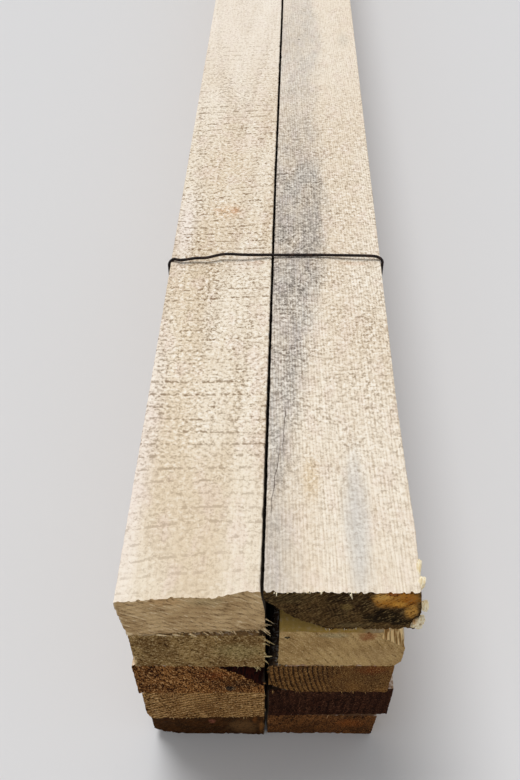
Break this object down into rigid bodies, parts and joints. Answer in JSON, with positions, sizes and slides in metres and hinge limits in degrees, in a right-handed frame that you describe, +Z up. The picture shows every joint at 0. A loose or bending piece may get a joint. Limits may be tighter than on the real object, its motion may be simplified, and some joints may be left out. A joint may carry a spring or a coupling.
{
  "type": "timber plank bundle",
  "caption": "Wire-tied pack of rough-sawn softwood battens stacked two wide, with staggered oblique ends, waned arrises and twisted ties.",
  "frame": {"origin": "middle of the pack's base, on the floor, at the centre of its bounding box", "axes": "+Z up, +Y along the planks towards the far end, +X to the right as seen from the near end"},
  "size_m": [0.1066, 1.2, 0.1296],
  "materials": {
    "pale_pine": "rough-sawn, woolly, pale cream",
    "blue_stained_pine": "rough-sawn, pale with grey-blue stain along the grain",
    "weathered_pine": "rough-sawn, olive-grey",
    "brown_pine": "rough-sawn, damp brown",
    "tan_pine": "rough-sawn, tan with clear growth rings",
    "dark_pine": "rough-sawn, dark brown and dirty",
    "black_wire": "dull black annealed wire"
  },
  "bodies": {
    "root": {"plank_left_1": "pale_pine", "plank_left_2": "weathered_pine", "plank_left_3": "brown_pine", "plank_left_4": "tan_pine", "plank_left_5": "dark_pine", "plank_right_1": "blue_stained_pine", "plank_right_2": "weathered_pine", "plank_right_3": "brown_pine", "plank_right_4": "dark_pine", "plank_right_5": "brown_pine", "tie_wire_near": "black_wire", "tie_wire_far": "black_wire"}
  },
  "joints": []
}
